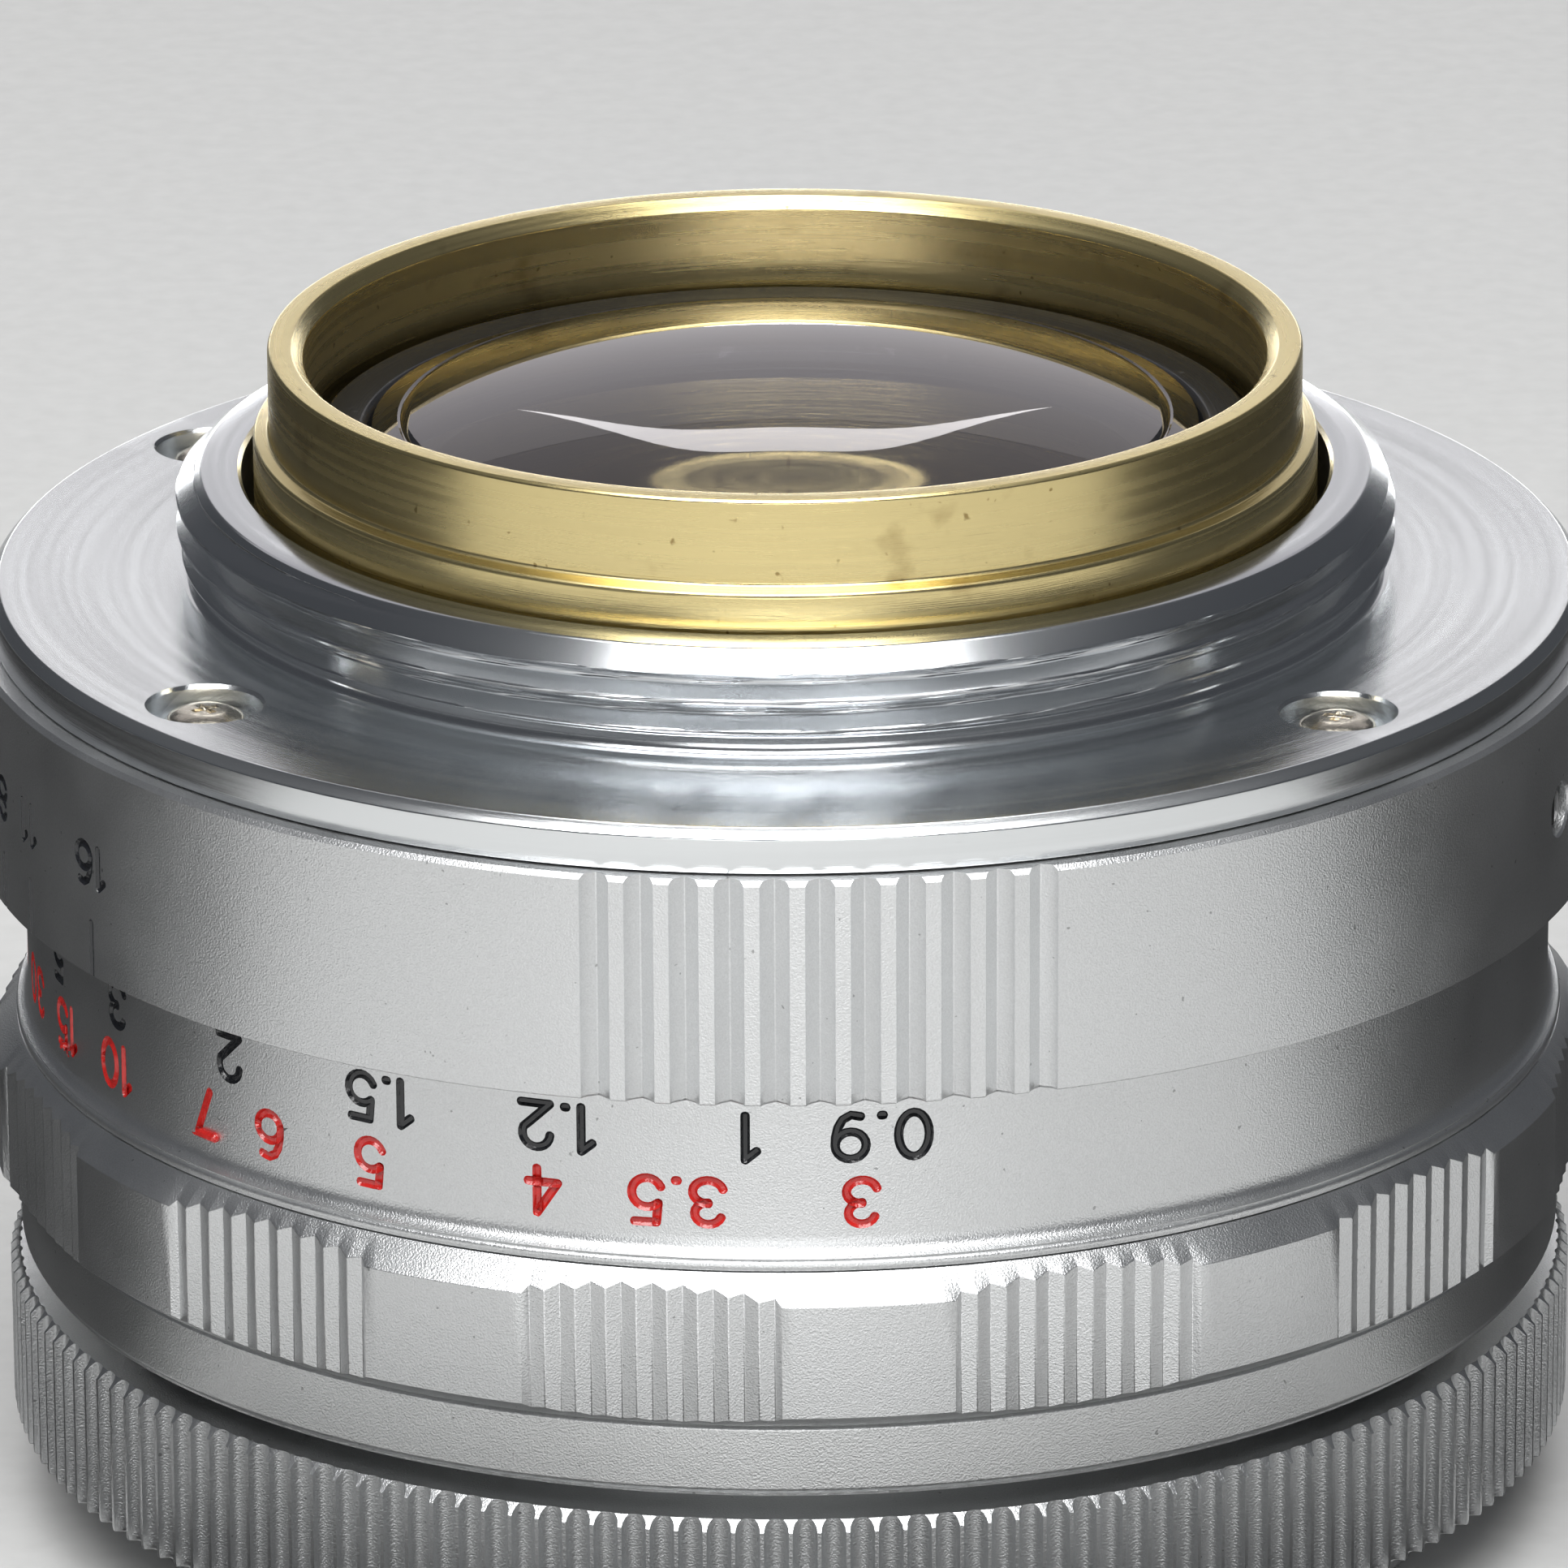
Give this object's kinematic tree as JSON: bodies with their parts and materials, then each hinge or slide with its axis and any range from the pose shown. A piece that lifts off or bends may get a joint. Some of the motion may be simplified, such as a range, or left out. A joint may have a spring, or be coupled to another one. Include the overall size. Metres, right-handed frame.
{
  "type": "rangefinder screw-mount lens",
  "caption": "Compact satin-silver wide-angle lens with a fine-thread screw mount, brass rangefinder coupling, turning focus and aperture rings and a working iris.",
  "frame": {"origin": "centre of the front rim, on the surface that the lens stands on", "axes": "+Z along the optical axis towards the camera body, -Y the side with the thumb ribs of the depth-of-field ring, +X to the right seen from that side"},
  "size_m": [0.0522, 0.0522, 0.0385],
  "materials": {
    "mount_flange": "bright chromed brass",
    "flange_screw_1": "bright",
    "flange_screw_2": "bright",
    "flange_screw_3": "bright",
    "flange_screw_4": "bright",
    "fixed_barrel": "satin anodised",
    "depth_scale_ring": "satin anodised",
    "scale_ring_grub_screw_1": "bright",
    "scale_ring_grub_screw_2": "bright",
    "cam_guide_key": "bright",
    "barrel_guide_key": "bright",
    "focus_stop_pin": "bright",
    "focus_grip_ring": "satin anodised",
    "distance_scale_sleeve": "satin anodised",
    "focus_helicoid": "fine turned",
    "grip_screw_1": "bright",
    "grip_screw_2": "bright",
    "grip_screw_3": "bright",
    "main_barrel": "satin anodised",
    "helicoid_retaining_ring": "satin anodised",
    "front_barrel": "satin anodised",
    "front_lens_housing": "black anodised",
    "front_trim_ring": "black anodised",
    "filter_ring": "satin anodised",
    "rear_lens_housing": "black anodised",
    "rear_retaining_ring": "black anodised",
    "iris_base_plate": "matt black",
    "glass_1_front": "coated",
    "glass_2": "coated",
    "glass_3": "coated",
    "glass_4": "coated",
    "glass_5": "coated",
    "glass_6_rear": "coated",
    "click_ball": "bright",
    "click_spring": "bright",
    "rangefinder_cam": "fine turned",
    "aperture_ring": "satin anodised",
    "iris_coupling_screw": "bright",
    "iris_coupling_arm": "bright",
    "iris_drive_ring": "bright",
    "iris_blade_1": "matt black",
    "iris_blade_2": "matt black",
    "iris_blade_3": "matt black",
    "iris_blade_4": "matt black",
    "iris_blade_5": "matt black",
    "iris_blade_6": "matt black",
    "iris_blade_7": "matt black",
    "iris_blade_8": "matt black",
    "iris_blade_9": "matt black",
    "iris_blade_10": "matt black"
  },
  "bodies": {
    "mount": {"mount_flange": "mount_flange", "flange_screw_1": "flange_screw_1", "flange_screw_2": "flange_screw_2", "flange_screw_3": "flange_screw_3", "flange_screw_4": "flange_screw_4", "fixed_barrel": "fixed_barrel", "depth_scale_ring": "depth_scale_ring", "scale_ring_grub_screw_1": "scale_ring_grub_screw_1", "scale_ring_grub_screw_2": "scale_ring_grub_screw_2", "cam_guide_key": "cam_guide_key", "barrel_guide_key": "barrel_guide_key", "focus_stop_pin": "focus_stop_pin"},
    "focus_ring": {"focus_grip_ring": "focus_grip_ring", "distance_scale_sleeve": "distance_scale_sleeve", "focus_helicoid": "focus_helicoid", "grip_screw_1": "grip_screw_1", "grip_screw_2": "grip_screw_2", "grip_screw_3": "grip_screw_3"},
    "optical_unit": {"main_barrel": "main_barrel", "helicoid_retaining_ring": "helicoid_retaining_ring", "front_barrel": "front_barrel", "front_lens_housing": "front_lens_housing", "front_trim_ring": "front_trim_ring", "filter_ring": "filter_ring", "rear_lens_housing": "rear_lens_housing", "rear_retaining_ring": "rear_retaining_ring", "iris_base_plate": "iris_base_plate", "glass_1_front": "glass_1_front", "glass_2": "glass_2", "glass_3": "glass_3", "glass_4": "glass_4", "glass_5": "glass_5", "glass_6_rear": "glass_6_rear", "click_ball": "click_ball", "click_spring": "click_spring"},
    "rangefinder_cam": {"rangefinder_cam": "rangefinder_cam"},
    "aperture_ring": {"aperture_ring": "aperture_ring", "iris_coupling_screw": "iris_coupling_screw", "iris_coupling_arm": "iris_coupling_arm", "iris_drive_ring": "iris_drive_ring"},
    "blade_1": {"iris_blade_1": "iris_blade_1"},
    "blade_2": {"iris_blade_2": "iris_blade_2"},
    "blade_3": {"iris_blade_3": "iris_blade_3"},
    "blade_4": {"iris_blade_4": "iris_blade_4"},
    "blade_5": {"iris_blade_5": "iris_blade_5"},
    "blade_6": {"iris_blade_6": "iris_blade_6"},
    "blade_7": {"iris_blade_7": "iris_blade_7"},
    "blade_8": {"iris_blade_8": "iris_blade_8"},
    "blade_9": {"iris_blade_9": "iris_blade_9"},
    "blade_10": {"iris_blade_10": "iris_blade_10"}
  },
  "joints": [
    {"name": "focus_travel", "type": "slide", "parent": "mount", "child": "optical_unit", "axis": [0, 0, -1], "range_m": [0, 0.00146]},
    {"name": "focus_turn", "type": "hinge", "parent": "optical_unit", "child": "focus_ring", "pos_m": [0, 0, 0.0135], "axis": [0, 0, -1], "range_deg": [0, 94]},
    {"name": "cam_travel", "type": "slide", "parent": "mount", "child": "rangefinder_cam", "axis": [0, 0, -1], "range_m": [0, 0.00321]},
    {"name": "aperture_turn", "type": "hinge", "parent": "optical_unit", "child": "aperture_ring", "pos_m": [0, 0, 0.0057], "axis": [0, 0, -1], "range_deg": [0, 60]},
    {"name": "blade_1_swing", "type": "hinge", "parent": "optical_unit", "child": "blade_1", "pos_m": [0.0113, 0, 0.0148], "axis": [0, 0, -1], "range_deg": [0, 33.2]},
    {"name": "blade_2_swing", "type": "hinge", "parent": "optical_unit", "child": "blade_2", "pos_m": [0.00914, 0.00664, 0.0148], "axis": [0, 0, -1], "range_deg": [0, 33.2]},
    {"name": "blade_3_swing", "type": "hinge", "parent": "optical_unit", "child": "blade_3", "pos_m": [0.00349, 0.01075, 0.0148], "axis": [0, 0, -1], "range_deg": [0, 33.2]},
    {"name": "blade_4_swing", "type": "hinge", "parent": "optical_unit", "child": "blade_4", "pos_m": [-0.00349, 0.01075, 0.0148], "axis": [0, 0, -1], "range_deg": [0, 33.2]},
    {"name": "blade_5_swing", "type": "hinge", "parent": "optical_unit", "child": "blade_5", "pos_m": [-0.00914, 0.00664, 0.0148], "axis": [0, 0, -1], "range_deg": [0, 33.2]},
    {"name": "blade_6_swing", "type": "hinge", "parent": "optical_unit", "child": "blade_6", "pos_m": [-0.0113, 0, 0.0148], "axis": [0, 0, -1], "range_deg": [0, 33.2]},
    {"name": "blade_7_swing", "type": "hinge", "parent": "optical_unit", "child": "blade_7", "pos_m": [-0.00914, -0.00664, 0.0148], "axis": [0, 0, -1], "range_deg": [0, 33.2]},
    {"name": "blade_8_swing", "type": "hinge", "parent": "optical_unit", "child": "blade_8", "pos_m": [-0.00349, -0.01075, 0.0148], "axis": [0, 0, -1], "range_deg": [0, 33.2]},
    {"name": "blade_9_swing", "type": "hinge", "parent": "optical_unit", "child": "blade_9", "pos_m": [0.00349, -0.01075, 0.0148], "axis": [0, 0, -1], "range_deg": [0, 33.2]},
    {"name": "blade_10_swing", "type": "hinge", "parent": "optical_unit", "child": "blade_10", "pos_m": [0.00914, -0.00664, 0.0148], "axis": [0, 0, -1], "range_deg": [0, 33.2]}
  ],
  "couplings": [
    {"joint": "focus_travel", "follows": "focus_turn", "m_per_rad": 0.00088382},
    {"joint": "cam_travel", "follows": "focus_turn", "m_per_rad": 0.0019505},
    {"joint": "blade_1_swing", "follows": "aperture_turn", "ratio": 0.55},
    {"joint": "blade_2_swing", "follows": "aperture_turn", "ratio": 0.55},
    {"joint": "blade_3_swing", "follows": "aperture_turn", "ratio": 0.55},
    {"joint": "blade_4_swing", "follows": "aperture_turn", "ratio": 0.55},
    {"joint": "blade_5_swing", "follows": "aperture_turn", "ratio": 0.55},
    {"joint": "blade_6_swing", "follows": "aperture_turn", "ratio": 0.55},
    {"joint": "blade_7_swing", "follows": "aperture_turn", "ratio": 0.55},
    {"joint": "blade_8_swing", "follows": "aperture_turn", "ratio": 0.55},
    {"joint": "blade_9_swing", "follows": "aperture_turn", "ratio": 0.55},
    {"joint": "blade_10_swing", "follows": "aperture_turn", "ratio": 0.55}
  ]
}
